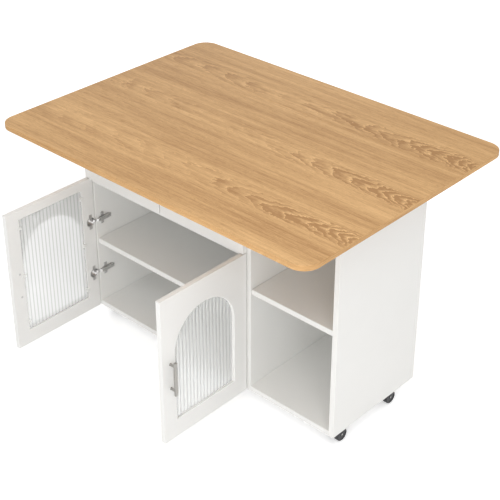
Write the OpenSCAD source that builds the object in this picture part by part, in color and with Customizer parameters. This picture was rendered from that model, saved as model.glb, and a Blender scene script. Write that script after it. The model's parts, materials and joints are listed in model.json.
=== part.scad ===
// Drop leaf kitchen island on casters: a white cabinet with two glazed doors, two drawers
// above them and an open bay, under a broad oak-look worktop whose back part folds down.
// The front looks towards -Y. The doors are drawn open by 90 degrees and the leaf is drawn
// up. The origin is on the floor under the centre of the whole island as it is drawn.

/* [Worktop] */
// Height of the worktop's upper face above the floor
height = 900; // [880:5:930]
// Thickness of the worktop and of its leaf
top_t = 18; // [16:1:22]
// Overhang past each end of the cabinet
end_overhang = 110; // [60:5:140]
// Overhang past the cabinet's front
front_overhang = 295; // [200:5:320]
// Overhang of the raised leaf past the cabinet's back
back_overhang = 275; // [265:5:320]
// Radius of the four outer corners, seen from above
corner_r = 60; // [20:5:80]

/* [Cabinet] */
// Width over the two side panels
cabinet_w = 1170; // [1120:10:1240]
// Depth from the front edges to the back panel's outer face
cabinet_d = 445; // [430:5:480]
// Thickness of the carcass boards
board = 20; // [18:1:22]
// Thickness of the back panel
back_t = 18; // [15:1:20]
// Clear width of the open bay
bay_w = 350; // [320:5:380]
// Height of the doors' top edge above the floor
door_top = 614; // [600:2:630]
// Height of the compartment shelf's upper face
left_shelf_z = 353; // [330:1:380]
// Height of the bay shelf's upper face
right_shelf_z = 475; // [420:5:560]

/* [Doors and drawers] */
// Thickness of the doors and drawer fronts
door_t = 18; // [18:1:20]
// Width of a door's stiles beside the arched cut-out
stile_w = 60; // [55:1:75]
// Height of the arched cut-out's sill above the door's bottom edge
sill_h = 70; // [66:1:90]
// Distance from the top of the arch to the door's top edge
arch_drop = 90; // [70:5:120]
// Number of ribs across a pane
ribs = 18; // [12:1:24]
// Length of the bar handles
handle_len = 130; // [116:2:150]

/* [Leaf stays] */
// Distance from the leaf's hinge line to a stay's upper pin
stay_reach = 120; // [100:5:140]
// Drop from the leaf's hinge line to a stay's foot
stay_drop = 120; // [100:5:140]

/* [Casters] */
// Height from the floor to the cabinet's underside
caster_h = 56; // [54:1:60]
// Radius of the twin wheels
wheel_r = 24.5; // [22:0.5:24.5]
// Width of each of the twin wheels
wheel_w = 21; // [14:1:22]
// Distance from a swivel axis to the cabinet's end
caster_end = 39; // [34:1:80]
// Distance from a swivel axis to the cabinet's front or back
caster_side = 88; // [60:1:110]

/* [Hidden] */
CASTERS = ["front_left", "front_right", "back_left", "back_right"];

$fn = 48;

// Colours
white = [0.93, 0.93, 0.92];
oak = [0.78, 0.58, 0.38];
steel = [0.62, 0.62, 0.63];
black = [0.08, 0.08, 0.09];

// Carcass planes, from end to end and upwards
half_w = cabinet_w / 2;
x_in = half_w - board;
div_r = x_in - bay_w;
div_l = div_r - board;
z_base = caster_h;
z_floor = z_base + board;
z_under = height - top_t;
ceil_z1 = door_top - 1;
ceil_z0 = ceil_z1 - board;
rail_d = 80;
shelf_play = 1;
shelf_setback = 5;
pin_r = 2.5;
pin_len = 16;
pin_in = 60;

// Doors: each turns about an upright axis inside its hinge edge, far enough in front of the
// cabinet for the door's inner corner to swing clear of it
reveal = 1;
door_off = 2.6;
door_gap = 4;
door_x0 = -half_w + reveal;
door_x1 = div_l + 5;
door_w = (door_x1 - door_x0 - door_gap) / 2;
door_z0 = z_base + reveal;
mid_x = door_x0 + door_w + door_gap / 2;
axis_in = 7;
axis_out = 10;
hinge_z = [212, 434];
face_in = axis_out;
face_out = axis_out - door_t;
free_x = door_w - axis_in;
arch_x = free_x - door_w / 2;
arch_r = door_w / 2 - stile_w;

// Carcass planes from front to back: the open doors and the raised leaf reach equally far
door_reach = free_x + axis_out + door_off;
y_front = door_reach - (door_reach + cabinet_d + back_overhang) / 2;
y_back = y_front + cabinet_d;
y_in = y_back - back_t;
axis_y = y_front - door_off - axis_out;
sill_z = door_z0 + sill_h;
spring_z = door_top - arch_drop - arch_r;
rebate_lap = 6;
rebate_d = 8;
rebate_z0 = sill_z - 11;
rebate_z1 = door_top - 35;
pane_t = 4.5;
rib_h = 1.5;
clip_z = [rebate_z0 + 35, (rebate_z0 + rebate_z1) / 2, rebate_z1 - 35];
clip_w = 7;
clip_half = 6;
clip_t = 1.2;
clip_peg_r = 1.8;
clip_peg_len = 8;

// Cup hinges, in a frame whose origin is the axis and whose +X runs to the free edge
cup_x = 12.8;
cup_r = 17.5;
cup_depth = 13.7;
cup_wall = 1;
flange_t = 0.6;
flange_w = 1.5;
wing_z = 24;
hinge_pin_r = 1.2;
knuckle_r = 2.4;
arm_w = 10;
body_y = [22, 78];
body_half = 7;
body_h = 8;
plate_y = [26, 72];
plate_side = 9;
plate_t = 2;
wing_y = [34, 48];
wing_screw_z = 17;
cup_screw_z = 25;
running = 0.05;

// Handles
handle_x = free_x - 35;
handle_z = 315;
handle_pitch = 96;
handle_off = 20;
handle_bar = [12, 8];
handle_screw_r = 2;

// Drawers
drawer_z0 = door_top + 3;
drawer_z1 = z_under - 4;
side_clear = 13;
box_z0 = ceil_z1 + 15;
box_drop = 80;
box_z1 = drawer_z1 - box_drop;
box_len = 380;
box_side = 12;
bottom_t = 5;
bottom_up = 12;
rail_z = box_z0 + 55;
rail_len = 350;
rail_half = 20;
rail_w = 9;
rail_t = 1.5;
rail_play = 0.3;
front_y = y_front - door_off;
DRAWERS = [[-x_in, mid_x - board / 2], [mid_x + board / 2, div_l]];
FRONTS = [[door_x0, mid_x - door_gap / 2], [mid_x + door_gap / 2, door_x1]];

// Leaf: the hinge line lies under the seam, one knuckle radius below the worktop
seam = 0.5;
butt_r = 3.5;
butt_pin_r = 1.6;
leaf_y = y_back + 22;
leaf_z = z_under - butt_r;
butt_in = 85;
butt_x = [-half_w + butt_in, 0, half_w - butt_in];
butt_len = 80;
butt_w = 21;
butt_t = 1.5;
top_y0 = y_front - front_overhang;
top_y1 = y_back + back_overhang;
top_w = cabinet_w + 2 * end_overhang;

// Leaf stays: each upper pin and foot lie as far below and inside the hinge line
stay_end = 165;
stay_x = [-half_w + stay_end, half_w - stay_end];
stay_in = 11;
stay_len = norm([stay_reach + stay_in, stay_drop - stay_in]);
stay_lean = atan2(stay_reach + stay_in, stay_drop - stay_in);
stay_w = 16;
stay_r = 4.5;
stay_pin_r = 2;
foot_pin_r = 2.5;
clevis_half = 11;
track_half = 14;
track_wall = 1.5;
foot_z = leaf_z - stay_drop;
track_z0 = leaf_z - stay_reach - stay_len - 16;
track_z1 = foot_z + 18;

// Casters: the swivel axis, and the wheels' axle a little in front of it
trail = 22;
axle_r = 4;
wheel_in = 6;
wheel_edge = 3;
race_r = 11;
king_r = 5;
wheel_reach = wheel_in + wheel_w;
plate_half = 20;
caster_plate_t = 2;
race_z = z_base - 6.5;
hood_half = 5.3;
fender_gap = 0.8;
fender_t = 1.4;
fender_z = 6;
pedal = [15, 14, 2.5];
pedal_z = 9;
pedal_in = sqrt(pow(wheel_r + fender_gap + fender_t / 2, 2) - pow(pedal_z, 2));
function caster_at(i) = [(i % 2 == 0 ? -1 : 1) * (half_w - caster_end),
                         i < 2 ? y_front + caster_side : y_back - caster_side];

// Screws: their heads' thickness, and the places of those through several boards
head_t = 1.4;
fixing_in = 60;
back_screw_in = 100;

module box(a, b) translate(a) cube(b - a);

// Worktop ------------------------------------------------------------------------------

// Outline of the worktop from y0 to y1, round at the two corners on side s (-1 front, 1 back)
module slab(y0, y1, s) {
    ye = s < 0 ? y0 : y1;
    translate([0, 0, z_under]) linear_extrude(height = top_t) union() {
        translate([-top_w / 2, s < 0 ? y0 + corner_r : y0]) square([top_w, y1 - y0 - corner_r]);
        translate([-top_w / 2 + corner_r, y0]) square([top_w - 2 * corner_r, y1 - y0]);
        for (x = [-1, 1])
            translate([x * (top_w / 2 - corner_r), ye - s * corner_r]) circle(corner_r, $fn = 96);
    }
}

module worktop() color(oak) difference() {
    slab(top_y0, leaf_y - seam / 2, -1);
    top_fixing_screws();
    butt_screws(-1);
}

module drop_leaf() color(oak) difference() {
    slab(leaf_y + seam / 2, top_y1, 1);
    butt_screws(1);
    clevis_screws();
}

// One side of the butt hinges: s = -1 under the worktop, 1 under the leaf
module butt_leaves(s) {
    seg = butt_len / 5;
    for (x = butt_x) translate([x - butt_len / 2, leaf_y, leaf_z]) difference() {
        union() {
            for (i = [0:4]) translate([i * seg, 0, 0]) {
                if ((i % 2 == 0) == (s < 0)) {
                    translate([0.2, 0, 0]) rotate([0, 90, 0]) cylinder(r = butt_r, h = seg - 0.4);
                    box([0.2, min(0, s * 6), butt_r - butt_t], [seg - 0.2, max(0, s * 6), butt_r]);
                }
            }
            box([0, min(s * butt_w, s * 5), butt_r - butt_t],
                [butt_len, max(s * butt_w, s * 5), butt_r]);
        }
        translate([-1, 0, 0]) rotate([0, 90, 0])
            cylinder(r = butt_pin_r + (s < 0 ? 0 : running), h = butt_len + 2);
        translate([-x + butt_len / 2, -leaf_y, -leaf_z]) butt_screws(s);
    }
}

module butt_screws(s)
    for (x = butt_x, dx = [-28, 28])
        translate([x + dx, leaf_y + s * 13, z_under - butt_t]) screw(1.75, 12, 3.2);

module worktop_hinge_leaves() color(steel) butt_leaves(-1);
module drop_leaf_hinge_leaves() color(steel) butt_leaves(1);

// A flat-headed screw along +Z: its head lies below the origin plane
module screw(r, len, head_r) {
    cylinder(r = r, h = len);
    translate([0, 0, -head_t]) cylinder(r = head_r, h = head_t);
}

// Carcass ------------------------------------------------------------------------------

module left_side_panel() color(white) difference() {
    box([-half_w, y_front, z_base], [-x_in, y_in, z_under]);
    hinge_screws(0);
    shelf_pin_set(0);
    back_screws();
}

module right_side_panel() color(white) difference() {
    box([x_in, y_front, z_base], [half_w, y_in, z_under]);
    shelf_pin_set(1);
    back_screws();
}

module divider_panel() color(white) difference() {
    box([div_l, y_front, z_floor], [div_r, y_in, z_under]);
    hinge_screws(1);
    shelf_pin_set(0);
    shelf_pin_set(1);
    back_screws();
}

module bottom_board() color(white) difference() {
    box([-x_in, y_front, z_base], [x_in, y_in, z_floor]);
    caster_screws();
}

module ceiling_board() color(white)
    box([-x_in, y_front, ceil_z0], [div_l, y_in, ceil_z1]);

module drawer_divider() color(white)
    box([mid_x - board / 2, y_front, ceil_z1], [mid_x + board / 2, y_in, z_under - board]);

module top_rails() color(white) difference() {
    for (x = [[-x_in, div_l], [div_r, x_in]], y = [y_front, y_in - rail_d])
        box([x[0], y, z_under - board], [x[1], y + rail_d, z_under]);
    top_fixing_screws();
}

module back_panel() color(white) difference() {
    box([-half_w, y_in, z_base], [half_w, y_back, z_under]);
    track_screws();
    back_screws();
}

// Loose shelf between the upright faces x0 and x1
module shelf(x0, x1, z)
    box([x0 + shelf_play, y_front + shelf_setback, z - board],
        [x1 - shelf_play, y_in - 2 * shelf_play, z]);

module left_shelf() color(white)
    shelf(-x_in, div_l, left_shelf_z);

module right_shelf() color(white)
    shelf(div_r, x_in, right_shelf_z);

// Four pegs under one shelf: k = 0 in the compartment, 1 in the bay
module shelf_pin_set(k) {
    ends = k == 0 ? [-x_in, div_l] : [div_r, x_in];
    z = (k == 0 ? left_shelf_z : right_shelf_z) - board - pin_r;
    for (e = ends, y = [y_front + pin_in, y_in - pin_in])
        translate([e - pin_len / 2, y, z]) rotate([0, 90, 0]) cylinder(r = pin_r, h = pin_len);
}

module shelf_pins() color(steel) {
    shelf_pin_set(0);
    shelf_pin_set(1);
}

// Screws up through the top rails into the worktop
module top_fixing_screws()
    for (x = [-half_w + fixing_in, 0, half_w - fixing_in],
         y = [y_front + rail_d / 2, y_in - rail_d / 2])
        translate([x, y, z_under - board]) screw(2.25, board + 10, 4.5);

// Screws through the back panel into the upright boards
module back_screws()
    for (x = [-half_w + board / 2, (div_l + div_r) / 2, half_w - board / 2],
         z = [z_base + back_screw_in, (z_base + z_under) / 2, z_under - back_screw_in])
        translate([x, y_back, z]) rotate([90, 0, 0]) screw(2, 2 * back_t + 4, 4);

module cabinet_screws() color(steel) {
    top_fixing_screws();
    back_screws();
    track_screws();
    caster_screws();
    butt_screws(-1);
    hinge_screws(0);
    hinge_screws(1);
}

// Door hinges --------------------------------------------------------------------------

// Moves a child from the hinge frame to the cabinet: k = 0 left door, 1 right door
module at_axis(k) {
    x = k == 0 ? door_x0 + axis_in : door_x1 - axis_in;
    translate([x, axis_y, 0]) mirror([k, 0, 0]) children();
}

// The same, with the child turned with its door as it stands open
module at_door(k) at_axis(k) rotate([0, 0, -90]) children();

// Inner face of the board that carries a door, in the hinge frame
function carrier(k) = k == 0 ? -x_in - door_x0 - axis_in : door_x1 - axis_in - div_l;

// One mounting plate with its two wings
module hinge_plate(k) {
    f = carrier(k);
    box([f, plate_y[0], -plate_side], [f + plate_t, plate_y[1], plate_side]);
    box([f, wing_y[0], -wing_z], [f + plate_t, wing_y[1], wing_z]);
}

module hinge_screws(k)
    for (z = hinge_z, dz = [-wing_screw_z, wing_screw_z])
        at_axis(k) translate([carrier(k) + plate_t, (wing_y[0] + wing_y[1]) / 2, z + dz])
            rotate([0, -90, 0]) screw(2, 14, 3.6);

module hinge_plates() color(steel) for (k = [0, 1]) difference() {
    for (z = hinge_z) at_axis(k) translate([0, 0, z]) hinge_plate(k);
    hinge_screws(k);
}

// Hinge arm: a knuckle on the pin, a cranked link out of the cup and a stout rear body
module hinge_arm(k) {
    f = carrier(k) + plate_t;
    difference() {
        translate([0, 0, -arm_w / 2]) linear_extrude(height = arm_w) union() {
            circle(knuckle_r);
            polygon([[0, -1.6], [10.4, -1.6], [15, 3.6], [15, 12], [f + body_h, body_y[0] - 4],
                     [f + body_h, body_y[0] + 2], [f, body_y[0] + 2], [f, body_y[0] - 5],
                     [13, 11], [13, 4.4], [9.6, 0.4], [0, 0.4]]);
        }
        translate([0, 0, -arm_w]) cylinder(r = hinge_pin_r, h = 2 * arm_w);
    }
    box([f, body_y[0], -body_half], [f + body_h, body_y[1], body_half]);
}

module hinge_arms() color(steel)
    for (k = [0, 1], z = hinge_z) at_axis(k) translate([0, 0, z]) hinge_arm(k);

module hinge_pins() color(steel) {
    for (k = [0, 1], z = hinge_z) at_axis(k)
        translate([0, 0, z - 6.6]) cylinder(r = hinge_pin_r, h = 13.2);
    for (x = butt_x) translate([x - butt_len / 2, leaf_y, leaf_z])
        rotate([0, 90, 0]) cylinder(r = butt_pin_r, h = butt_len);
}

// Cup let into the door, with its flange and the two lugs that hold the pin
module hinge_cup() {
    difference() {
        union() {
            translate([cup_x, face_in, 0]) rotate([90, 0, 0]) cylinder(r = cup_r, h = cup_depth);
            translate([cup_x, face_in + flange_t, 0]) rotate([90, 0, 0])
                cylinder(r = cup_r + flange_w, h = flange_t);
            box([cup_x - 7, face_in, -31], [cup_x + 7, face_in + flange_t, 31]);
        }
        translate([cup_x, face_in + 1, 0]) rotate([90, 0, 0])
            cylinder(r = cup_r - cup_wall, h = cup_depth + 1 - cup_wall);
    }
    difference() {
        for (s = [-1, 1]) translate([0, 0, s * 6 - 0.6]) union() {
            cylinder(r = knuckle_r, h = 1.2);
            translate([-knuckle_r, face_in - cup_depth + cup_wall / 2, 0])
                cube([2 * knuckle_r, cup_depth - face_in - cup_wall / 2, 1.2]);
        }
        translate([0, 0, -8]) cylinder(r = hinge_pin_r + running, h = 16);
    }
}

module hinge_cups(k) color(steel) difference() {
    for (z = hinge_z) at_door(k) translate([0, 0, z]) hinge_cup();
    at_door(k) cup_screws();
}

module cup_screws()
    for (z = hinge_z, dz = [-cup_screw_z, cup_screw_z])
        translate([cup_x, face_in + flange_t - head_t, z + dz])
            rotate([90, 0, 0]) screw(1.75, 12, 2.8);

// Doors, in the hinge frame as they stand closed -----------------------------------------

// Arched cut-out, right through the door
module arch() translate([arch_x, face_in + 1, 0]) rotate([90, 0, 0])
    linear_extrude(height = door_t + 2) union() {
        translate([-arch_r, sill_z]) square([2 * arch_r, spring_z - sill_z]);
        translate([0, spring_z]) circle(arch_r, $fn = 96);
    }

// Places a child at each clip of a pane, with +X away from the pane
module at_clips() for (z = clip_z, s = [-1, 1])
    translate([arch_x + s * (arch_r + rebate_lap), 0, z]) mirror([s < 0 ? 1 : 0, 0, 0]) children();

module clip_pegs() at_clips() translate([clip_w / 2, face_in + clip_t / 2, 0])
    rotate([90, 0, 0]) cylinder(r = clip_peg_r, h = clip_t / 2 + clip_peg_len);

// Push-in clips: a foot on the pane, a cover on the frame and a peg into it
module glass_clips() {
    at_clips() {
        box([-clip_w, face_in - rebate_d + pane_t, -clip_half], [-0.5, face_in, clip_half]);
        box([-clip_w, face_in, -clip_half], [clip_w + 3, face_in + clip_t, clip_half]);
    }
    clip_pegs();
}

module handle_screws() for (dz = [-1, 1])
    translate([handle_x, face_in, handle_z + dz * handle_pitch / 2])
        rotate([90, 0, 0]) screw(handle_screw_r, door_t + 8, 4);

// Bar handle on two posts, standing off towards -Y
module bar_handle() {
    for (dz = [-1, 1]) translate([0, 0, dz * handle_pitch / 2])
        rotate([90, 0, 0]) cylinder(r = 4, h = handle_off);
    box([-handle_bar[0] / 2, -handle_off - handle_bar[1], -handle_len / 2],
        [handle_bar[0] / 2, -handle_off, handle_len / 2]);
}

module door_frame(k) color(white) at_door(k) difference() {
    box([-axis_in, face_out, door_z0], [free_x, face_in, door_top]);
    arch();
    box([arch_x - arch_r - rebate_lap, face_in - rebate_d, rebate_z0],
        [arch_x + arch_r + rebate_lap, face_in + 1, rebate_z1]);
    for (z = hinge_z) translate([cup_x, face_in + 1, z]) rotate([90, 0, 0])
        cylinder(r = cup_r, h = cup_depth + 1);
    cup_screws();
    clip_pegs();
    handle_screws();
}

// Pane with half-round upright ribs on its outer side
module door_glass(k) {
    pitch = (2 * (arch_r + rebate_lap) - 1) / ribs;
    y0 = face_in - rebate_d + rib_h;
    ripple = [for (i = [0:ribs - 1], a = [0:30:150])
        [(i + (1 - cos(a)) / 2) * pitch, -rib_h * sin(a)]];
    back = [[ribs * pitch, 0], [ribs * pitch, pane_t - rib_h], [0, pane_t - rib_h]];
    color([0.85, 0.9, 0.9, 0.5]) at_door(k)
        translate([arch_x - pitch * ribs / 2, y0, rebate_z0 + 0.5])
            linear_extrude(height = rebate_z1 - rebate_z0 - 1)
                polygon(concat(ripple, back));
}

module door_clips(k) color(white) at_door(k) glass_clips();

module door_handle(k) color(steel) at_door(k) difference() {
    translate([handle_x, face_out, handle_z]) bar_handle();
    handle_screws();
}

module door_screws(k) color(steel) at_door(k) {
    cup_screws();
    handle_screws();
}

// Drawers ------------------------------------------------------------------------------

module at_drawer_handle(k)
    translate([(FRONTS[k][0] + FRONTS[k][1]) / 2, front_y - door_t, (drawer_z0 + drawer_z1) / 2])
        rotate([0, 90, 0]) children();

module drawer_handle_screws() for (dz = [-1, 1])
    translate([0, door_t, dz * handle_pitch / 2])
        rotate([90, 0, 0]) screw(handle_screw_r, door_t + 8, 4);

module drawer_front(k) color(white) difference() {
    box([FRONTS[k][0], front_y - door_t, drawer_z0], [FRONTS[k][1], front_y, drawer_z1]);
    at_drawer_handle(k) drawer_handle_screws();
}

module drawer_handle(k) color(steel) {
    at_drawer_handle(k) difference() {
        bar_handle();
        drawer_handle_screws();
    }
    at_drawer_handle(k) drawer_handle_screws();
}

module drawer_box(k) {
    x0 = DRAWERS[k][0] + side_clear;
    x1 = DRAWERS[k][1] - side_clear;
    color(white) {
        for (x = [x0, x1 - box_side])
            box([x, front_y, box_z0], [x + box_side, front_y + box_len, box_z1]);
        box([x0 + box_side, front_y + box_len - box_side, box_z0],
            [x1 - box_side, front_y + box_len, box_z1]);
    }
}

module drawer_bottom(k) color(white)
    box([DRAWERS[k][0] + side_clear + box_side, front_y, box_z0 + bottom_up],
        [DRAWERS[k][1] - side_clear - box_side, front_y + box_len - box_side,
         box_z0 + bottom_up + bottom_t]);

// Channel rail on the cabinet: a web with two lips, drawn from the carrying face towards +X
module outer_rail() difference() {
    box([0, 0, -rail_half], [rail_w, rail_len, rail_half]);
    box([rail_t, -1, rail_t - rail_half], [rail_w + 1, rail_len + 1, rail_half - rail_t]);
}

// Channel rail on the drawer, running inside the outer one
module inner_rail() {
    half = rail_half - rail_t - rail_play;
    difference() {
        box([rail_t + rail_play, 0, -half], [side_clear, rail_len, half]);
        box([0, -1, rail_t - half], [side_clear - rail_t, rail_len + 1, half - rail_t]);
    }
}

module at_rails(k) for (s = [0, 1])
    translate([DRAWERS[k][s], y_front + 5, rail_z]) mirror([s, 0, 0]) children();

module drawer_outer_rails() color(steel) for (k = [0, 1]) at_rails(k) outer_rail();
module drawer_inner_rails(k) color(steel) at_rails(k) inner_rail();

// Leaf stays ---------------------------------------------------------------------------

// Clevis under the leaf: a plate, two ears and the riveted pin
module stay_clevises() color(steel) difference() {
    for (x = stay_x) translate([x, leaf_y + stay_reach, leaf_z - stay_in]) {
        for (s = [-1, 1]) translate([s * (clevis_half - 1) - 1, 0, 0]) {
            rotate([0, 90, 0]) cylinder(r = 5, h = 2);
            box([0, -5, 0], [2, 5, stay_in + butt_r - butt_t]);
        }
        translate([-clevis_half, 0, 0]) rotate([0, 90, 0])
            cylinder(r = stay_pin_r, h = 2 * clevis_half);
        box([-clevis_half, -18, stay_in + butt_r - butt_t], [clevis_half, 18, stay_in + butt_r]);
    }
    clevis_screws();
}

module clevis_screws() for (x = stay_x, s = [-1, 1])
    translate([x, leaf_y + stay_reach + s * 12, z_under - butt_t]) screw(1.75, 12, 3.2);

module leaf_screws() color(steel) {
    butt_screws(1);
    clevis_screws();
}

// Flat bar from the leaf's pin down to its foot, which carries a cross pin
module stay(k) color(steel)
    translate([stay_x[k], leaf_y + stay_reach, leaf_z - stay_in]) rotate([-stay_lean, 0, 0]) difference() {
        union() {
            for (z = [0, -stay_len]) translate([-stay_w / 2, 0, z])
                rotate([0, 90, 0]) cylinder(r = stay_r, h = stay_w);
            box([-stay_w / 2, -3, -stay_len], [stay_w / 2, 3, 0]);
            translate([-clevis_half, 0, -stay_len]) rotate([0, 90, 0])
                cylinder(r = foot_pin_r, h = 2 * clevis_half);
        }
        translate([-stay_w, 0, 0]) rotate([0, 90, 0])
            cylinder(r = stay_pin_r + running, h = 2 * stay_w);
    }

// Channel on the cabinet's back that guides the foot, with the raised catch it locks behind
module stay_tracks() color(steel) difference() {
    for (x = stay_x) translate([x, y_back, 0]) {
        box([-track_half, 0, track_z0], [track_half, track_wall, track_z1]);
        for (e = [-track_half, track_half - track_wall]) translate([e, 0, 0])
            box([0, 0, track_z0], [track_wall, 15, track_z1]);
        box([-6, track_wall, foot_z - 14], [6, 5, foot_z - 8]);
    }
    track_screws();
}

module track_screws() for (x = stay_x, z = [track_z0 + 12, track_z1 - 8])
    translate([x, y_back + track_wall, z]) rotate([90, 0, 0]) screw(2, 14, 3.6);

// Casters ------------------------------------------------------------------------------

// A caster stands with its wheels in front of the swivel axis, which is the local Z axis
module at_caster(i) translate(concat(caster_at(i), [0])) children();

// Places a child on the wheels' axle line, with +Z along +X and the origin between the wheels
module at_wheels() translate([0, -trail, wheel_r]) rotate([0, 90, 0]) children();

module caster_screws() for (i = [0:3], sx = [-1, 1], sy = [-1, 1])
    at_caster(i) translate([sx * 15, sy * 15, z_base - caster_plate_t]) screw(2, 14, 3.4);

module caster_plates() color(black) difference() {
    for (i = [0:3]) at_caster(i) difference() {
        union() {
            box([-plate_half, -plate_half, z_base - caster_plate_t], [plate_half, plate_half, z_base]);
            translate([0, 0, race_z]) cylinder(r = race_r, h = z_base - race_z);
        }
        translate([0, 0, race_z - 1]) cylinder(r = king_r + running, h = z_base - race_z + 2);
    }
    caster_screws();
}

// Body between the wheels, fender over their far side, brake pedal and king pin
module caster_hood() {
    difference() {
        union() {
            at_wheels() cylinder(r = wheel_r - 3, h = 2 * hood_half, center = true);
            box([-hood_half, -trail, wheel_r + 4], [hood_half, 8, race_z - 0.4]);
        }
        at_wheels() cylinder(r = axle_r, h = 2 * wheel_reach, center = true);
    }
    translate([0, 0, race_z - 3.4]) cylinder(r = 8, h = 3);
    translate([0, 0, race_z - 1]) cylinder(r = king_r, h = z_base - race_z + 0.5);
    intersection() {
        at_wheels() difference() {
            cylinder(r = wheel_r + fender_gap + fender_t, h = 2 * wheel_reach, center = true);
            cylinder(r = wheel_r + fender_gap, h = 2 * wheel_reach + 2, center = true);
        }
        box([-wheel_reach, -trail - 2 * wheel_r, wheel_r + fender_z],
            [wheel_reach, 7 - trail, 2 * wheel_r + 4]);
    }
    box([-hood_half, -trail - 4, 2 * wheel_r - 4], [hood_half, 6 - trail, 2 * wheel_r + 1.5]);
    translate([0, -trail - pedal_in, wheel_r + pedal_z])
        box([-pedal[0], -pedal[1], 0], [pedal[0], 0, pedal[2]]);
}

module caster_axle() at_wheels()
    cylinder(r = axle_r, h = 2 * (wheel_reach - 1), center = true);

// Twin wheels with a softened outer edge and a dished outer face
module caster_wheels() for (s = [-1, 1])
    at_wheels() mirror([0, 0, s < 0 ? 1 : 0]) translate([0, 0, wheel_in]) difference() {
        union() {
            cylinder(r = wheel_r, h = wheel_w - wheel_edge);
            translate([0, 0, wheel_w - wheel_edge])
                cylinder(r1 = wheel_r, r2 = wheel_r - wheel_edge, h = wheel_edge);
        }
        translate([0, 0, -1]) cylinder(r = axle_r + running, h = wheel_w + 2);
        translate([0, 0, wheel_w - 2]) difference() {
            cylinder(r = wheel_r - 6, h = 3);
            translate([0, 0, -1]) cylinder(r = 8, h = 5);
        }
    }

left_side_panel();
right_side_panel();
divider_panel();
bottom_board();
ceiling_board();
drawer_divider();
top_rails();
back_panel();
left_shelf();
right_shelf();
shelf_pins();
worktop();
hinge_plates();
hinge_arms();
hinge_pins();
drawer_outer_rails();
caster_plates();
cabinet_screws();
stay_tracks();
worktop_hinge_leaves();
drop_leaf();
drop_leaf_hinge_leaves();
stay_clevises();
leaf_screws();
stay(0);  // left_stay
stay(1);  // right_stay
door_frame(0);  // left_door_frame
door_glass(0);  // left_door_glass
door_clips(0);  // left_glass_clips
door_handle(0);  // left_door_handle
hinge_cups(0);  // left_hinge_cups
door_screws(0);  // left_door_screws
door_frame(1);  // right_door_frame
door_glass(1);  // right_door_glass
door_clips(1);  // right_glass_clips
door_handle(1);  // right_door_handle
hinge_cups(1);  // right_hinge_cups
door_screws(1);  // right_door_screws
drawer_front(0);  // left_drawer_front
drawer_box(0);  // left_drawer_box
drawer_bottom(0);  // left_drawer_bottom
drawer_handle(0);  // left_drawer_handle
drawer_inner_rails(0);  // left_drawer_inner_rails
drawer_front(1);  // right_drawer_front
drawer_box(1);  // right_drawer_box
drawer_bottom(1);  // right_drawer_bottom
drawer_handle(1);  // right_drawer_handle
drawer_inner_rails(1);  // right_drawer_inner_rails
for (i = [0:3]) {
    color(black) at_caster(i) caster_hood();
    color(steel) at_caster(i) caster_axle();
    color(black) at_caster(i) caster_wheels();
}
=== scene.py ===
"""Drop leaf kitchen island: eased boards, moulded door frames, reeded panes, bar handles,
twin-wheel casters and eased ironmongery, with the finish of every surface, the studio light
and the camera. Metres throughout."""
import json
import math
import bmesh
import bpy
import numpy as np
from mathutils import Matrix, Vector
from mathutils.geometry import tessellate_polygon


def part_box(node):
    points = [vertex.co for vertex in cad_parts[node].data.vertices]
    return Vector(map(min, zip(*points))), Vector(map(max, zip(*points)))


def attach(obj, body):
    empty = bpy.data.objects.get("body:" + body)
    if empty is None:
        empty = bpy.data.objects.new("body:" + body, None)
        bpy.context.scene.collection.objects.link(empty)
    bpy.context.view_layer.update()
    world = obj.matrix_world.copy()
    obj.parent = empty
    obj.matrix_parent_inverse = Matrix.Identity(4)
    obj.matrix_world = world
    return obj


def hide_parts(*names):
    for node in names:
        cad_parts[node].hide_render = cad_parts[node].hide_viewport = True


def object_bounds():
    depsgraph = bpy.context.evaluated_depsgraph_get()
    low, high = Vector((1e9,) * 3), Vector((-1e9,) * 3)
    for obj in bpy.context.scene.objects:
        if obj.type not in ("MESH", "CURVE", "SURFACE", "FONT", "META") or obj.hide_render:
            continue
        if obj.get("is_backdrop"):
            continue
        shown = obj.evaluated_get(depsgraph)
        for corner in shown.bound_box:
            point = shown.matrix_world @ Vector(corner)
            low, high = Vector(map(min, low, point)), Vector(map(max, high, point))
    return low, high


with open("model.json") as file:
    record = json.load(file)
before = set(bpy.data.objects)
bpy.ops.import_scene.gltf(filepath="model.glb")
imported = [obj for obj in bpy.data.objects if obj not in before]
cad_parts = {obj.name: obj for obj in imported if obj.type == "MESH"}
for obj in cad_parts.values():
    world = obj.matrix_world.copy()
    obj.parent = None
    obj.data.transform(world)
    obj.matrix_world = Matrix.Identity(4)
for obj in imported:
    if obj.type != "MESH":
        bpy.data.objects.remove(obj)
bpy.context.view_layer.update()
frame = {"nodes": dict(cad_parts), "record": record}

MM = 0.001
CREASE_DEG = 35.0
NODES = frame["nodes"]
BODY_OF = {n: b for b, group in frame["record"]["behaviour"]["bodies"].items() for n in group}
SLOT_OF = {s["node"]: s["material_slot"] for s in frame["record"]["subparts"]}
made = set()


# Surfaces -----------------------------------------------------------------------------

def grid_faces(rows, cols):
    """Quads between the points of a rows x cols grid, each of whose rows is a closed ring."""
    i, j = np.meshgrid(np.arange(rows - 1), np.arange(cols), indexing="ij")
    k = (j + 1) % cols
    quads = np.stack([i * cols + j, i * cols + k, (i + 1) * cols + k, (i + 1) * cols + j], -1)
    return quads.reshape(-1, 4).tolist()


def joined(shells):
    """Several (points, faces) shells as one pair."""
    starts = np.cumsum([0] + [len(v) for v, f in shells[:-1]])
    faces = [[int(s) + i for i in face] for s, (v, f) in zip(starts, shells) for face in f]
    return np.concatenate([v for v, f in shells]), faces


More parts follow.
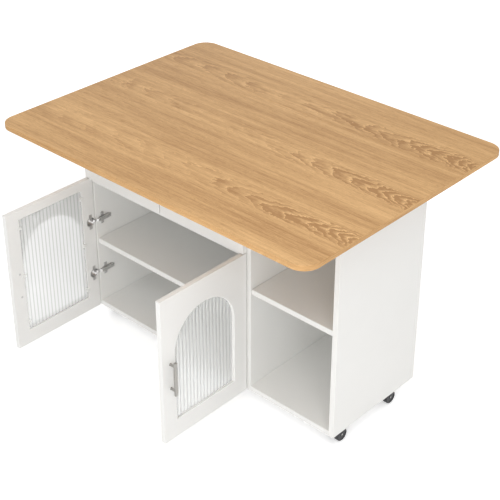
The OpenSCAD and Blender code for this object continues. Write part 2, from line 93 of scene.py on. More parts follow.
def eased_box(lo, hi, r, steps=3):
    """A box with rounded arrises. The point at latitude p and longitude q is the corner of
    the inset box in that octant plus r (cos p cos q, cos p sin q, sin p)."""
    lo, hi = np.array(lo, float), np.array(hi, float)
    centre, half = (lo + hi) / 2, (hi - lo) / 2 - r
    quarter = np.linspace(0, np.pi / 2, steps + 1)
    lat = np.concatenate([quarter - np.pi / 2, quarter])
    lon = np.concatenate([quarter + k * np.pi / 2 for k in range(4)])
    sz = np.repeat([-1, 1], steps + 1)
    sx = np.repeat([1, -1, -1, 1], steps + 1)
    sy = np.repeat([1, 1, -1, -1], steps + 1)
    p, q = np.meshgrid(lat, lon, indexing="ij")
    x = sx[None, :] * half[0] + r * np.cos(p) * np.cos(q)
    y = sy[None, :] * half[1] + r * np.cos(p) * np.sin(q)
    z = sz[:, None] * half[2] + r * np.sin(p)
    verts = np.stack([x, y, z], -1).reshape(-1, 3) + centre
    rows, cols = p.shape
    corner = np.arange(4) * (steps + 1)
    caps = [corner.tolist()[::-1], (corner + (rows - 1) * cols).tolist()]
    return verts, grid_faces(rows, cols) + caps


def turned(profile, origin, axis, segments):
    """A closed (radius, height) profile turned about an axis through origin: each point
    becomes the ring origin + height a + radius (cos t u + sin t v)."""
    a = np.array(axis, float)
    u = np.cross(a, [0.0, 0.0, 1.0] if abs(a[2]) < 0.9 else [1.0, 0.0, 0.0])
    v = np.cross(a, u)
    t = np.linspace(0, 2 * np.pi, segments, endpoint=False)
    spoke = np.cos(t)[:, None] * u + np.sin(t)[:, None] * v
    prof = np.array(profile, float)
    prof = np.concatenate([prof, prof[:1]])
    rings = prof[:, 0, None, None] * spoke[None] + prof[:, 1, None, None] * a
    return rings.reshape(-1, 3) + np.array(origin, float), grid_faces(len(prof), segments)


def arc(cx, cy, r, a0, a1, steps):
    """Points of a circular arc from angle a0 to a1 in degrees."""
    t = np.radians(np.linspace(a0, a1, steps + 1))
    return np.stack([cx + r * np.cos(t), cy + r * np.sin(t)], -1)


def round_rectangle(x0, x1, y0, y1, radii, steps):
    """Outline points and their outward directions, anticlockwise from (x0, y0): a quarter
    circle of each corner's radius, about a centre that far inside the corner."""
    corners = [(x0, y0, 180), (x1, y0, 270), (x1, y1, 0), (x0, y1, 90)]
    points, outwards = [], []
    for (cx, cy, a0), r in zip(corners, radii):
        inside = np.array([cx + (r if cx == x0 else -r), cy + (r if cy == y0 else -r)])
        n = arc(0, 0, 1, a0, a0 + 90, steps)
        points.append(inside + r * n)
        outwards.append(n)
    return np.concatenate(points), np.concatenate(outwards)


def rounding(r, steps):
    """(inset, depth) of a quarter-round arris from a face, at depth 0, to its side: inset
    r (1 - sin t), depth r (1 - cos t)."""
    t = np.linspace(0, np.pi / 2, steps + 1)
    return np.stack([r * (1 - np.sin(t)), r * (1 - np.cos(t))], -1)


def slab(lo, hi, radii, arrises, corner_steps=16, arris_steps=4):
    """A board with round plan corners. The outline is carried through the thickness, moved
    inwards near both faces by a quarter-round arris of its own radius at each corner. Also
    gives the distance round the outline at each point."""
    outline, outwards = round_rectangle(lo[0], hi[0], lo[1], hi[1], radii, corner_steps)
    ease = np.repeat(arrises, corner_steps + 1)[None, :, None]
    unit = rounding(1.0, arris_steps)
    inset = np.concatenate([unit[:, 0], unit[::-1, 0]])[:, None, None] * ease
    under = lo[2] + unit[:, 1, None, None] * ease
    over = hi[2] - unit[::-1, 1, None, None] * ease
    rings = outline[None] - inset * outwards[None]
    verts = np.concatenate([rings, np.concatenate([under, over])], -1).reshape(-1, 3)
    rows, cols = rings.shape[:2]
    faces = grid_faces(rows, cols)
    faces += [list(range(cols))[::-1], list(range((rows - 1) * cols, rows * cols))]
    run = np.cumsum(np.linalg.norm(outline - np.roll(outline, 1, 0), axis=1))
    return verts, faces, np.tile(run, rows)


# Pieces -------------------------------------------------------------------------------

def show(obj, node, finish):
    """Gives a piece its finish and its body, and hides the CAD node it stands for. Level faces
    keep level shading beside rounded arrises."""
    bpy.context.scene.collection.objects.link(obj)
    obj.data.materials.clear()
    obj.data.materials.append(finish)
    level = obj.modifiers.new("level_faces", "WEIGHTED_NORMAL")
    level.keep_sharp = True
    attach(obj, BODY_OF[node])
    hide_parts(node)
    made.add(node)


def piece(name, verts, faces, node, finish, marks=None):
    """A mesh piece that stands for a CAD node, smooth except across edges sharper than
    CREASE_DEG. marks are values at each point, kept as attributes under their names."""
    mesh = bpy.data.meshes.new(name)
    mesh.from_pydata(np.asarray(verts).tolist(), [], faces)
    for key, values in (marks or {}).items():
        mesh.attributes.new(key, "FLOAT", "POINT").data.foreach_set("value", values)
    bm = bmesh.new()
    bm.from_mesh(mesh)
    bmesh.ops.remove_doubles(bm, verts=bm.verts, dist=1e-6)
    bmesh.ops.dissolve_degenerate(bm, edges=bm.edges, dist=1e-7)
    bmesh.ops.recalc_face_normals(bm, faces=bm.faces)
    bm.to_mesh(mesh)
    bm.free()
    mesh.shade_smooth()
    mesh.set_sharp_from_angle(angle=math.radians(CREASE_DEG))
    show(bpy.data.objects.new(name, mesh), node, finish)


def eased(node, finish, width):
    """A CAD node's form with rounded arrises: the copy's doubles are merged and its level
    triangles joined, and a bevel rounds every edge sharper than CREASE_DEG."""
    mesh = NODES[node].data.copy()
    mesh.name = node + "_eased"
    bm = bmesh.new()
    bm.from_mesh(mesh)
    bmesh.ops.remove_doubles(bm, verts=bm.verts, dist=1e-6)
    bmesh.ops.dissolve_limit(bm, angle_limit=math.radians(0.5), verts=bm.verts, edges=bm.edges)
    bm.to_mesh(mesh)
    bm.free()
    mesh.shade_smooth()
    obj = bpy.data.objects.new(node + "_eased", mesh)
    bevel = obj.modifiers.new("arris", "BEVEL")
    bevel.width = width
    bevel.segments = 2
    bevel.limit_method = "ANGLE"
    bevel.angle_limit = math.radians(CREASE_DEG)
    bevel.use_clamp_overlap = True
    show(obj, node, finish)


# Finishes: shader effects ---------------------------------------------------------------

FLOAT, COLOUR, VECTOR = "NodeSocketFloat", "NodeSocketColor", "NodeSocketVector"
PLANK_W, PLANK_OFFSET = 0.305, 1.165
FLAMES_END_X, FLAME_SPREAD, RINGS_PER_M = 0.74, 0.0164, 118.0


class Nodes:
    """A small helper that places and links shader nodes in a tree."""

    def __init__(self, tree):
        self.tree = tree

    def new(self, kind, inputs=None, **settings):
        node = self.tree.nodes.new(kind)
        for key, value in settings.items():
            setattr(node, key, value)
        for key, value in (inputs or {}).items():
            self.put(node.inputs[key], value)
        return node

    def put(self, socket, value):
        if isinstance(value, bpy.types.NodeSocket):
            self.tree.links.new(value, socket)
        else:
            socket.default_value = value

    def math(self, operation, *values):
        node = self.new("ShaderNodeMath", operation=operation)
        for socket, value in zip(node.inputs, values):
            self.put(socket, value)
        return node.outputs[0]

    def total(self, *values):
        result = values[0]
        for value in values[1:]:
            result = self.math("ADD", result, value)
        return result

    def mix(self, factor, a, b, blend="MIX"):
        node = self.new("ShaderNodeMix", data_type="RGBA", blend_type=blend)
        self.put(node.inputs[0], factor)
        self.put(node.inputs[6], a)
        self.put(node.inputs[7], b)
        return node.outputs[2]

    def grey(self, value):
        return self.new("ShaderNodeCombineColor", {0: value, 1: value, 2: value}).outputs[0]

    def noise(self, vector, scale, detail, rough):
        return self.new("ShaderNodeTexNoise", {
            "Vector": vector, "Scale": scale, "Detail": detail, "Roughness": rough}).outputs[0]

    def band(self, value, lo, hi, out_lo=0.0, out_hi=1.0):
        return self.new("ShaderNodeMapRange", {
            0: value, 1: lo, 2: hi, 3: out_lo, 4: out_hi}).outputs[0]


def effect(name, inputs, outputs):
    """A shader node group with named sockets: (group, helper, input node, output node)."""
    tree = bpy.data.node_groups.new(name, "ShaderNodeTree")
    for label, kind, value in inputs:
        socket = tree.interface.new_socket(label, in_out="INPUT", socket_type=kind)
        if value is not None:
            socket.default_value = value
    for label, kind in outputs:
        tree.interface.new_socket(label, in_out="OUTPUT", socket_type=kind)
    n = Nodes(tree)
    return tree, n, n.new("NodeGroupInput"), n.new("NodeGroupOutput")


def oak_effect():
    """Flat-sawn oak in planks of one width: broad soft bands, long streaks, fine fibre and
    short dark pores. A growth ring is a line of equal sqrt(h^2 + K (end - x)), with h the
    distance from a plank's heart and K the spread, so that it is a parabola, a flame whose
    tip points away from the end. Each ring darkens slowly and ends in a pale stroke."""
    tree, n, src, out = effect(
        "oak_figure",
        [("Vector", VECTOR, None), ("Light", COLOUR, (0.6, 0.36, 0.18, 1)),
         ("Dark", COLOUR, (0.4, 0.2, 0.08, 1))],
        [("Color", COLOUR), ("Height", FLOAT), ("Pores", FLOAT)])
    vec = src.outputs["Vector"]

    def streaky(sx, sy, detail, rough, offset=(0.0, 0.0, 0.0)):
        stretched = n.new("ShaderNodeMapping", {
            "Vector": vec, "Location": offset, "Scale": (sx, sy, sy)}).outputs[0]
        return n.noise(stretched, 1.0, detail, rough)

    def swing(value, amount):
        return n.math("MULTIPLY", n.math("SUBTRACT", value, 0.5), amount)

    xyz = n.new("ShaderNodeSeparateXYZ", {"Vector": vec})
    x, y = xyz.outputs[0], xyz.outputs[1]
    bend = n.total(swing(streaky(1.8, 3.0, 2.0, 0.5), 0.07),
                   swing(streaky(16.0, 34.0, 3.0, 0.65, (3.1, 0.7, 0.0)), 0.052))
    heart = n.math("PINGPONG", n.total(y, PLANK_OFFSET, bend), PLANK_W / 2)
    left = n.math("MAXIMUM", n.math("SUBTRACT", FLAMES_END_X, x), 0.0)
    square = n.math("ADD", n.math("MULTIPLY", heart, heart),
                    n.math("MULTIPLY", left, FLAME_SPREAD))
    ring = n.total(n.math("SQRT", square),
                  swing(streaky(26.0, 60.0, 3.0, 0.6, (0.3, 4.0, 0.0)), 0.013),
                  swing(streaky(3.0, 9.0, 2.0, 0.5, (5.0, 1.0, 0.0)), 0.030))
    saw = n.math("FRACT", n.math("MULTIPLY", ring, RINGS_PER_M))
    late = n.math("MULTIPLY", n.band(saw, 0.05, 0.80), n.band(saw, 0.84, 0.93, 1.0, 0.0))
    pale = n.band(saw, 0.88, 0.96)
    patches = n.band(streaky(4.0, 10.0, 2.0, 0.5, (9.0, 3.0, 0.0)), 0.40, 0.58)
    along = n.math("ADD", n.band(x, 0.10, 0.55, 0.0, 0.75), n.math("MULTIPLY", patches, 0.35))
    near_heart = n.band(heart, 0.020, 0.050, 1.0, 0.0)
    flames = n.math("ADD", 0.12, n.math("MULTIPLY", near_heart, along))
    fibre = streaky(10.0, 230.0, 4.0, 0.7)
    streak = streaky(1.6, 44.0, 6.0, 0.68, (1.7, 0.0, 0.0))
    tone = streaky(0.7, 6.0, 2.0, 0.5, (7.0, 2.0, 0.0))
    pore = n.band(streaky(30.0, 460.0, 2.0, 0.5), 0.58, 0.68)
    amount = n.total(n.math("MULTIPLY", n.math("MULTIPLY", late, flames), 0.95),
                     n.math("MULTIPLY", n.band(streak, 0.34, 0.68), 0.50),
                     n.math("MULTIPLY", n.band(tone, 0.36, 0.64), 0.26),
                     n.math("MULTIPLY", n.band(fibre, 0.3, 0.7), 0.34),
                     n.math("MULTIPLY", n.math("MULTIPLY", pale, flames), -0.50))
    amount = n.math("MAXIMUM", amount, 0.0)
    colour = n.mix(n.math("MINIMUM", amount, 1.0), src.outputs["Light"], src.outputs["Dark"])
    dark_pore = n.mix(0.45, src.outputs["Dark"], (0.10, 0.045, 0.018, 1))
    colour = n.mix(n.math("MULTIPLY", pore, 0.34), colour, dark_pore)
    n.put(out.inputs["Color"], colour)
    n.put(out.inputs["Height"], n.math("SUBTRACT", n.math("MULTIPLY", fibre, 0.5), pore))
    n.put(out.inputs["Pores"], pore)
    return tree


def board_effect():
    """Foiled or sprayed board: a faint cloud in the tone, smears in the gloss and a fine
    orange-peel height."""
    tree, n, src, out = effect(
        "board_skin",
        [("Vector", VECTOR, None), ("Color", COLOUR, (0.8, 0.8, 0.8, 1)),
         ("Cloud", FLOAT, 0.02), ("Rough", FLOAT, 0.4)],
        [("Color", COLOUR), ("Roughness", FLOAT), ("Height", FLOAT)])
    vec = src.outputs["Vector"]
    cloud = n.math("SUBTRACT", n.noise(vec, 6.0, 3.0, 0.6), 0.5)
    smear = n.math("SUBTRACT", n.noise(vec, 28.0, 4.0, 0.6), 0.5)
    shade = n.math("ADD", 1.0, n.math("MULTIPLY", cloud, src.outputs["Cloud"]))
    n.put(out.inputs["Color"], n.mix(1.0, src.outputs["Color"], n.grey(shade), "MULTIPLY"))
    n.put(out.inputs["Roughness"],
          n.math("ADD", src.outputs["Rough"], n.math("MULTIPLY", smear, 0.12)))
    n.put(out.inputs["Height"], n.noise(vec, 900.0, 2.0, 0.5))
    return tree


def brush_effect():
    """Brushed or plated metal: fine scratches along one axis, as tone, gloss and height."""
    tree, n, src, out = effect(
        "brushed_metal",
        [("Vector", VECTOR, None), ("Stretch", VECTOR, (4.0, 4.0, 4.0)),
         ("Color", COLOUR, (0.6, 0.6, 0.6, 1)), ("Rough", FLOAT, 0.3)],
        [("Color", COLOUR), ("Roughness", FLOAT), ("Height", FLOAT)])
    scaled = n.new("ShaderNodeVectorMath", {0: src.outputs["Vector"], 1: src.outputs["Stretch"]},
                   operation="MULTIPLY").outputs[0]
    scratch = n.noise(scaled, 1.0, 5.0, 0.7)
    blotch = n.math("SUBTRACT", n.noise(src.outputs["Vector"], 60.0, 3.0, 0.6), 0.5)
    dim = n.band(scratch, 0.25, 0.75, 0.82, 1.08)
    n.put(out.inputs["Color"], n.mix(1.0, src.outputs["Color"], n.grey(dim), "MULTIPLY"))
    n.put(out.inputs["Roughness"],
          n.math("ADD", src.outputs["Rough"], n.math("MULTIPLY", blotch, 0.2)))
    n.put(out.inputs["Height"], scratch)
    return tree


OAK, BOARD, BRUSH = oak_effect(), board_effect(), brush_effect()


# Finishes: materials --------------------------------------------------------------------

def start_finish(name, group, values):
    """A new material with an effect fed by Object coordinates: (material, helper, group
    node, shader node)."""
    mat = bpy.data.materials.new(name)
    mat.use_nodes = True
    mat.node_tree.nodes.clear()
    n = Nodes(mat.node_tree)
    fx = n.new("ShaderNodeGroup", node_tree=group)
    n.put(fx.inputs["Vector"], n.new("ShaderNodeTexCoord").outputs["Object"])
    for key, value in values.items():
        n.put(fx.inputs[key], value)
    shader = n.new("ShaderNodeBsdfPrincipled")
    n.put(n.new("ShaderNodeOutputMaterial").inputs["Surface"], shader.outputs[0])
    n.put(shader.inputs["Base Color"], fx.outputs["Color"])
    return mat, n, fx, shader


def add_bump(n, shader, height, strength, distance):
    bump = n.new("ShaderNodeBump", {"Height": height, "Strength": strength, "Distance": distance})
    n.put(shader.inputs["Normal"], bump.outputs[0])


def oak_finish(name, light, dark, rough):
    """Laminate: the figure runs along X on the faces and along the edge on the edge band.
    It shares the coordinates that start_finish gave the effect."""
    mat, n, fx, shader = start_finish(name, OAK, {"Light": light, "Dark": dark})
    coords = fx.inputs["Vector"].links[0].from_node.outputs
    place = n.new("ShaderNodeSeparateXYZ", {"Vector": coords["Object"]})
    along = n.new("ShaderNodeAttribute", attribute_name="run").outputs["Fac"]
    edge = n.new("ShaderNodeCombineXYZ", {0: along, 1: place.outputs[2], 2: 0.0}).outputs[0]
    upright = n.new("ShaderNodeSeparateXYZ", {"Vector": coords["Normal"]}).outputs[2]
    on_edge = n.math("LESS_THAN", n.math("ABSOLUTE", upright), 0.6)
    vector = n.new("ShaderNodeMix", data_type="VECTOR")
    n.put(vector.inputs[0], on_edge)
    n.put(vector.inputs[4], coords["Object"])
    n.put(vector.inputs[5], edge)
    n.put(fx.inputs["Vector"], vector.outputs[1])
    n.put(shader.inputs["Roughness"], n.band(fx.outputs["Pores"], 0.0, 1.0, rough, rough + 0.2))
    n.put(shader.inputs["Specular IOR Level"], 0.12)
    add_bump(n, shader, fx.outputs["Height"], 0.25, 0.0004)
    return mat


def board_finish(name, colour, rough, cloud=0.03, peel=0.06):
    mat, n, fx, shader = start_finish(
        name, BOARD, {"Color": colour, "Cloud": cloud, "Rough": rough})
    n.put(shader.inputs["Roughness"], fx.outputs["Roughness"])
    add_bump(n, shader, fx.outputs["Height"], peel, 0.0003)
    return mat


def metal_finish(name, colour, rough, stretch):
    """Metal whose scratches run along the axis with the smallest stretch."""
    mat, n, fx, shader = start_finish(
        name, BRUSH, {"Color": colour, "Rough": rough, "Stretch": stretch})
    n.put(shader.inputs["Metallic"], 1.0)
    n.put(shader.inputs["Roughness"], fx.outputs["Roughness"])
    add_bump(n, shader, fx.outputs["Height"], 0.08, 0.0002)
    return mat


def glass_finish():
    """Reeded glass, slightly milky, with painted shade that darkens its colour in the grooves
    between its ribs, where the attribute rib is 0. Its shadow is as pale as a clear pane's."""
    mat, n, fx, shader = start_finish(
        "reeded_glass", BOARD, {"Color": (0.94, 0.95, 0.945, 1), "Cloud": 0.01, "Rough": 0.08})
    rib = n.new("ShaderNodeAttribute", attribute_name="rib").outputs["Fac"]
    # painted shade: the glass colour is multiplied darker towards the grooves between the ribs
    groove_painted_shade = n.grey(n.band(rib, 0.0, 0.75, 0.70, 1.0))
    n.put(shader.inputs["Base Color"], n.mix(1.0, fx.outputs["Color"], groove_painted_shade, "MULTIPLY"))
    n.put(shader.inputs["Roughness"], fx.outputs["Roughness"])
    n.put(shader.inputs["IOR"], 1.46)
    n.put(shader.inputs["Transmission Weight"], 0.62)
    shadow = n.new("ShaderNodeLightPath").outputs["Is Shadow Ray"]
    n.put(shader.inputs["Alpha"], n.band(shadow, 0.0, 1.0, 1.0, 0.05))
    return mat


oak = oak_finish("oak_top", (0.845, 0.530, 0.248, 1), (0.440, 0.236, 0.094, 1), 0.50)
white = board_finish("white_board", (0.862, 0.857, 0.834, 1), 0.40)
white_door = board_finish("white_door", (0.868, 0.864, 0.844, 1), 0.34, peel=0.09)
drawer_wrap = board_finish("drawer_wrap", (0.76, 0.755, 0.735, 1), 0.5)
white_clip = board_finish("white_clip", (0.83, 0.83, 0.81, 1), 0.3, peel=0.12)
black = board_finish("black_plastic", (0.022, 0.022, 0.025, 1), 0.36, cloud=0.2, peel=0.25)
black_steel = board_finish("black_steel", (0.028, 0.028, 0.031, 1), 0.45, cloud=0.2, peel=0.5)
glass = glass_finish()
nickel = metal_finish("brushed_nickel", (0.40, 0.39, 0.37, 1), 0.34, (900.0, 900.0, 12.0))
nickel_level = metal_finish("brushed_nickel_level", (0.40, 0.39, 0.37, 1), 0.34,
                            (12.0, 900.0, 900.0))
zinc = metal_finish("bright_zinc", (0.68, 0.675, 0.67, 1), 0.30, (260.0, 260.0, 260.0))
FINISH_OF = {"white_board": white, "oak_top": oak, "ribbed_glass": glass, "nickel": nickel,
             "steel": zinc, "black_plastic": black, "black_steel": black_steel,
             "white_plastic": white_clip}


# Boards and top -------------------------------------------------------------------------

BOARD_EASE, BOTTOM_EASE = 0.9 * MM, 0.5 * MM
BOARDS = ["left_side_panel", "right_side_panel", "divider_panel", "bottom_board", "ceiling_board",
          "drawer_divider", "back_panel", "left_shelf", "right_shelf"]
CORNER_R, SEAM_R = 60 * MM, 0.8 * MM
TOP_EASE, SEAM_EASE = 1.5 * MM, 0.4 * MM

for node in BOARDS:
    piece(node + "_board", *eased_box(*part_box(node), BOARD_EASE), node, white)

for side in ("left", "right"):
    piece(side + "_drawer_front_board",
          *eased_box(*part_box(side + "_drawer_front"), BOARD_EASE), side + "_drawer_front",
          white_door)
    piece(side + "_drawer_bottom_board",
          *eased_box(*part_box(side + "_drawer_bottom"), BOTTOM_EASE), side + "_drawer_bottom",
          drawer_wrap)

OUTER, SEAM = (CORNER_R, TOP_EASE), (SEAM_R, SEAM_EASE)
for node, corners in (("worktop", (OUTER, OUTER, SEAM, SEAM)),
                      ("drop_leaf", (SEAM, SEAM, OUTER, OUTER))):
    radii, arrises = zip(*corners)
    verts, faces, run = slab(*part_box(node), radii, arrises)
    piece(node + "_slab", verts, faces, node, oak, marks={"run": run})


# Doors ----------------------------------------------------------------------------------

STILE, SILL, ARCH_DROP = 60 * MM, 70 * MM, 90 * MM
ARCH_SOFT, DOOR_EASE, LIP_EASE = 3.5 * MM, 0.8 * MM, 0.5 * MM
OUTLINE_R, OUTLINE_STEPS = 1 * MM, 3
REBATE_LAP, REBATE_DEPTH = 6 * MM, 8 * MM
REBATE_BELOW, REBATE_TOP = 11 * MM, 35 * MM
CUP_IN, CUP_R, CUP_DEPTH = 19.8 * MM, 17.6 * MM, 13.7 * MM
HINGE_Z = (212 * MM, 434 * MM)
RIBS, RIB_HEIGHT, PANE_T, PANE_GAP = 18, 1.5 * MM, 4.5 * MM, 0.5 * MM


class Door:
    """An open door's plane. A point has u, from the hinge edge to the free edge towards -Y,
    its height z, and its depth behind the outer face."""

    def __init__(self, side):
        lo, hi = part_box(side + "_door_frame")
        self.outer, self.inwards = (lo[0], 1) if side == "left" else (hi[0], -1)
        self.hinge_y, self.width, self.thick = hi[1], hi[1] - lo[1], hi[0] - lo[0]
        self.z0, self.z1 = lo[2], hi[2]
        self.mid = self.width / 2
        self.arch_r = self.mid - STILE
        self.sill = self.z0 + SILL
        self.spring = self.z1 - ARCH_DROP - self.arch_r

    def place(self, points, depth):
        """Points (u, z) at a depth, in the object's frame."""
        x = self.outer + self.inwards * np.broadcast_to(depth, points.shape[:-1])
        return np.stack([x, self.hinge_y - points[..., 0], points[..., 1]], -1)

    def arch(self, widen):
        """The arch's outline moved outwards: sill, side, half circle and side."""
        r, sill = self.arch_r + widen, self.sill - widen
        rise = np.linspace(sill, self.spring, 9)
        bottom = np.stack([np.linspace(-r, r, 9), np.full(9, sill)], -1)
        right = np.stack([np.full(9, r), rise], -1)
        left = np.stack([np.full(9, -r), rise[::-1]], -1)
        crown = arc(0, self.spring, r, 0, 180, 48)
        loop = np.concatenate([bottom[:-1], right[:-1], crown, left[1:-1]])
        return loop + np.array([self.mid, 0])

    def rebate(self, widen):
        """The pane's rebate as a rectangle, moved outwards."""
        half = self.arch_r + REBATE_LAP
        return round_rectangle(self.mid - half - widen, self.mid + half + widen,
                               self.sill - REBATE_BELOW - widen, self.z1 - REBATE_TOP + widen,
                               [OUTLINE_R] * 4, OUTLINE_STEPS)[0]

    def edge(self, inset):
        """The door's outline, moved inwards."""
        return round_rectangle(inset, self.width - inset, self.z0 + inset, self.z1 - inset,
                               [OUTLINE_R] * 4, OUTLINE_STEPS)[0]

    def cup(self, z):
        return arc(CUP_IN, z, CUP_R, 0, 360, 48)[:-1]

    def strip(self, loops):
        """The surface through matched outlines, given as (outline, depth)."""
        rings = np.stack([self.place(p, d) for p, d in loops])
        return rings.reshape(-1, 3), grid_faces(len(loops), rings.shape[1])

    def level(self, loops, depth):
        """The level face inside the first outline and outside the others."""
        flat = [np.column_stack([p, np.zeros(len(p))]).tolist() for p in loops]
        return self.place(np.concatenate(loops), depth), [list(t) for t in tessellate_polygon(flat)]


def door_frame(door):
    """The frame as one closed skin: outer face, softened arch edge, arch wall, rebate, inner
    face with its cup recesses, and the door's edges."""
    t, floor = door.thick, door.thick - REBATE_DEPTH
    arris = rounding(DOOR_EASE, 3)
    soft = rounding(ARCH_SOFT, 6)
    lip = rounding(LIP_EASE, 2)
    sides = [(door.edge(i), d) for i, d in arris] + [(door.edge(i), t - d) for i, d in arris[::-1]]
    arch = [(door.arch(w), d) for w, d in soft] + [(door.arch(0), floor)]
    walls = [(door.rebate(w), t - d) for w, d in lip] + [(door.rebate(0), floor)]
    cups = [door.cup(z) for z in HINGE_Z]
    shells = [door.strip(sides), door.strip(arch), door.strip(walls),
              door.level([door.edge(DOOR_EASE), door.arch(ARCH_SOFT)], 0.0),
              door.level([door.rebate(0), door.arch(0)], floor),
              door.level([door.edge(DOOR_EASE), door.rebate(LIP_EASE)] + cups, t)]
    for cup in cups:
        shells.append(door.strip([(cup, t), (cup, t - CUP_DEPTH)]))
        shells.append(door.level([cup], t - CUP_DEPTH))
    return joined(shells)


def pane(door):
    """Reeded pane: across each rib the outer side rises by the sagitta of a circle, which is
    sqrt(R^2 - s^2) - (R - h) at s from the rib's middle, and the inner side is level. Also
    gives that rise at each point, as a share of h."""
    half = door.arch_r + REBATE_LAP - PANE_GAP
    pitch = 2 * half / RIBS
    circle = (pitch ** 2 / 4 + RIB_HEIGHT ** 2) / (2 * RIB_HEIGHT)
    s = np.linspace(-0.5, 0.5, 9)[:-1]
    u = np.append((np.arange(RIBS)[:, None] + 0.5 + s[None]).ravel(), RIBS) * pitch
    rise = np.sqrt(circle ** 2 - (s * pitch) ** 2) - (circle - RIB_HEIGHT)
    rise = np.append(np.tile(rise, RIBS), 0.0)
    crest = door.thick - REBATE_DEPTH
    across = np.concatenate([u, u[::-1]]) + door.mid - half
    depth = np.concatenate([crest + RIB_HEIGHT - rise, np.full(len(u), crest + PANE_T)])
    heights = (door.sill - REBATE_BELOW + PANE_GAP, door.z1 - REBATE_TOP - PANE_GAP)
    rings = [door.place(np.stack([across, np.full(len(across), z)], -1), depth) for z in heights]
    count, m = len(across), len(u)
    i = np.arange(m - 1)
    cap = np.stack([i, i + 1, count - 2 - i, count - 1 - i], -1)
    faces = grid_faces(2, count) + cap.tolist() + (cap + count).tolist()
    rib = np.concatenate([rise, rise[::-1]]) / RIB_HEIGHT
    return np.concatenate(rings), faces, np.tile(rib, 2)


BAR_T, BAR_EASE = 8 * MM, 1.4 * MM
POST_STEP, POST_SHORT, POST_R, POST_FOOT_R = 48 * MM, 7 * MM, 4 * MM, 5.2 * MM


def bar_handle(node, out, sign, long):
    """A bar with eased arrises on two posts. out is the axis it stands off along, towards
    sign, and long the axis of the bar."""
    lo, hi = (np.array(c, float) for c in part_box(node))
    centre = (lo + hi) / 2
    foot, far = (lo[out], hi[out]) if sign > 0 else (hi[out], lo[out])
    bar_lo, bar_hi = lo.copy(), hi.copy()
    bar_lo[out], bar_hi[out] = sorted([far, far - sign * BAR_T])
    shells = [eased_box(bar_lo, bar_hi, BAR_EASE, 4)]
    axis = np.zeros(3)
    axis[out] = sign
    reach = abs(far - foot) - POST_SHORT
    post = [(0, 0), (POST_FOOT_R, 0), (POST_FOOT_R, 0.6 * MM), (4.6 * MM, 1.0 * MM),
            (POST_R, 2.2 * MM), (POST_R, reach), (0, reach)]
    for step in (-POST_STEP, POST_STEP):
        origin = centre.copy()
        origin[out] = foot
        origin[long] += step
        shells.append(turned(post, origin, axis, 32))
    return joined(shells)


for side in ("left", "right"):
    door = Door(side)
    sign = -door.inwards
    piece(side + "_door_moulded", *door_frame(door), side + "_door_frame", white_door)
    verts, faces, rib = pane(door)
    piece(side + "_door_pane", verts, faces, side + "_door_glass", glass, marks={"rib": rib})
    piece(side + "_door_bar", *bar_handle(side + "_door_handle", 0, sign, 2),
          side + "_door_handle", nickel)
    piece(side + "_drawer_bar", *bar_handle(side + "_drawer_handle", 1, -1, 0),
          side + "_drawer_handle", nickel_level)


# Casters --------------------------------------------------------------------------------

WHEEL_R, WHEEL_W, WHEEL_IN, BORE_R = 24.5 * MM, 21 * MM, 6 * MM, 4.1 * MM
HOOD_EASE = 0.6 * MM


def wheel_profile():
    """Half section of a wheel from its bore: inner face, tread with round shoulders, rim,
    dished outer face and hub."""
    r, w = WHEEL_R, WHEEL_W
    shoulder_in = arc(r - 1.5 * MM, 1.5 * MM, 1.5 * MM, -90, 0, 3)
    shoulder_out = arc(r - 3.5 * MM, w - 3.5 * MM, 3.5 * MM, 0, 90, 6)
    rim = arc(r - 6.0 * MM, w - 0.8 * MM, 0.8 * MM, 90, 180, 3)
    dish = [(r - 6.8 * MM, w - 1.6 * MM), (r - 7.6 * MM, w - 2.0 * MM), (9.6 * MM, w - 2.0 * MM)]
    hub = [(8.8 * MM, w - 1.6 * MM), (8.4 * MM, w - 0.5 * MM), (7.8 * MM, w)]
    return np.concatenate([[(BORE_R, 0)], shoulder_in, shoulder_out, rim, dish, hub,
                           [(BORE_R, w)]])


for corner in ("front_left", "front_right", "back_left", "back_right"):
    node = corner + "_caster_wheels"
    lo, hi = (np.array(c, float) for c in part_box(node))
    axle = (lo + hi) / 2
    wheels = [turned(wheel_profile(), axle + [s * WHEEL_IN, 0, 0], (s, 0, 0), 64) for s in (-1, 1)]
    piece(corner + "_wheel_pair", *joined(wheels), node, black)
    eased(corner + "_caster_hood", black, HOOD_EASE)


# Everything else: ironmongery, rails, screws, clips and drawer boxes ---------------------

USUAL_EASE = 0.3 * MM
EASE_OF = {"top_rails": 0.9 * MM, "left_drawer_box": 0.6 * MM, "right_drawer_box": 0.6 * MM,
           "caster_plates": 0.5 * MM, "hinge_arms": 0.5 * MM, "hinge_plates": 0.4 * MM,
           "left_stay": 0.6 * MM, "right_stay": 0.6 * MM}

for node in sorted(set(NODES) - made):
    finish = drawer_wrap if node.endswith("drawer_box") else FINISH_OF[SLOT_OF[node]]
    eased(node, finish, EASE_OF.get(node, USUAL_EASE))


# Studio ---------------------------------------------------------------------------------

CABINET_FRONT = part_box("left_side_panel")[0][1]
CAMERA_AT = (2.4898, CABINET_FRONT - 2.4615, 2.7121)
CAMERA_AZ, CAMERA_EL = 42.778, 29.004
FOCAL_PX, IMAGE_PX, SHIFT_Y_PX = 1212.96, 500.0, 60.0
WORLD_LEVEL = 0.64
FLOOR_R, FLOOR_STEPS, FLOOR_GLOW = 14.0, 96, 0.46
LAMPS = [  # name, place, aimed at, size, watts
    ("front_softbox", (3.0, -3.5, 1.6), (0, 0, 0.40), (3.4, 2.6), 68),
    ("rear_softbox", (-3.0, 3.0, 1.3), (0, 0, 0.5), (3.0, 2.0), 32),
    ("overhead_softbox", (1.1, -1.4, 2.85), (0.3, -0.2, 0.9), (2.2, 1.6), 25)]


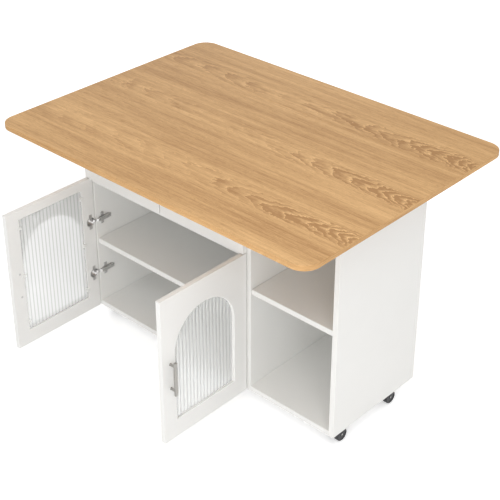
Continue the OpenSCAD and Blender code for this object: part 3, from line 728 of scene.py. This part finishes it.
def make_camera():
    cam = bpy.data.cameras.new("camera")
    cam.sensor_width = 36.0
    cam.lens = FOCAL_PX / IMAGE_PX * cam.sensor_width
    cam.shift_y = -SHIFT_Y_PX / IMAGE_PX
    cam.clip_start, cam.clip_end = 0.05, 60.0
    obj = bpy.data.objects.new("camera", cam)
    bpy.context.scene.collection.objects.link(obj)
    obj.location = CAMERA_AT
    obj.rotation_euler = (math.radians(90 - CAMERA_EL), 0, math.radians(CAMERA_AZ))
    bpy.context.scene.camera = obj


def area_light(name, place, target, size, watts):
    data = bpy.data.lights.new(name, "AREA")
    data.shape = "RECTANGLE"
    data.size, data.size_y = size
    data.energy = watts
    obj = bpy.data.objects.new(name, data)
    bpy.context.scene.collection.objects.link(obj)
    obj.location = place
    aim = Vector(target) - Vector(place)
    obj.rotation_euler = aim.to_track_quat("-Z", "Y").to_euler()


def seen_plainly(n):
    """1 where a surface is seen straight, in a mirror or through glass, else 0."""
    path = n.new("ShaderNodeLightPath").outputs
    either = n.math("MAXIMUM", path["Is Camera Ray"], path["Is Glossy Ray"])
    return n.math("MAXIMUM", either, path["Is Transmission Ray"])


def make_world():
    world = bpy.data.worlds.new("studio")
    bpy.context.scene.world = world
    world.use_nodes = True
    world.node_tree.nodes.clear()
    n = Nodes(world.node_tree)
    strength = n.math("ADD", WORLD_LEVEL, n.math("MULTIPLY", seen_plainly(n), 1.0 - WORLD_LEVEL))
    back = n.new("ShaderNodeBackground", {"Color": (1, 1, 1, 1), "Strength": strength})
    n.put(n.new("ShaderNodeOutputWorld").inputs["Surface"], back.outputs[0])


def make_floor():
    """A broad pale disc whose glow lifts it towards the white background, under the object's
    shadow. It is clear from below, so that the underside shows."""
    mesh = bpy.data.meshes.new("studio_floor")
    rim = np.column_stack([arc(0, 0, FLOOR_R, 0, 360, FLOOR_STEPS)[:-1], np.zeros(FLOOR_STEPS)])
    mesh.from_pydata(rim.tolist(), [], [list(range(FLOOR_STEPS))])
    obj = bpy.data.objects.new("studio_floor", mesh)
    bpy.context.scene.collection.objects.link(obj)
    mat = bpy.data.materials.new("studio_floor")
    mat.use_nodes = True
    mat.node_tree.nodes.clear()
    n = Nodes(mat.node_tree)
    shader = n.new("ShaderNodeBsdfPrincipled", {
        "Base Color": (0.9, 0.9, 0.9, 1), "Roughness": 0.9, "Specular IOR Level": 0.1,
        "Emission Color": (1, 1, 1, 1)})
    n.put(shader.inputs["Emission Strength"], n.math("MULTIPLY", seen_plainly(n), FLOOR_GLOW))
    beneath = n.new("ShaderNodeNewGeometry").outputs["Backfacing"]
    n.put(shader.inputs["Alpha"], n.band(beneath, 0.0, 1.0, 1.0, 0.0))
    n.put(n.new("ShaderNodeOutputMaterial").inputs["Surface"], shader.outputs[0])
    obj.data.materials.append(mat)
    obj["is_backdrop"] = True


make_camera()
make_world()
make_floor()
for lamp in LAMPS:
    area_light(*lamp)

bpy.context.scene.view_settings.view_transform = "Standard"

lo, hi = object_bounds()
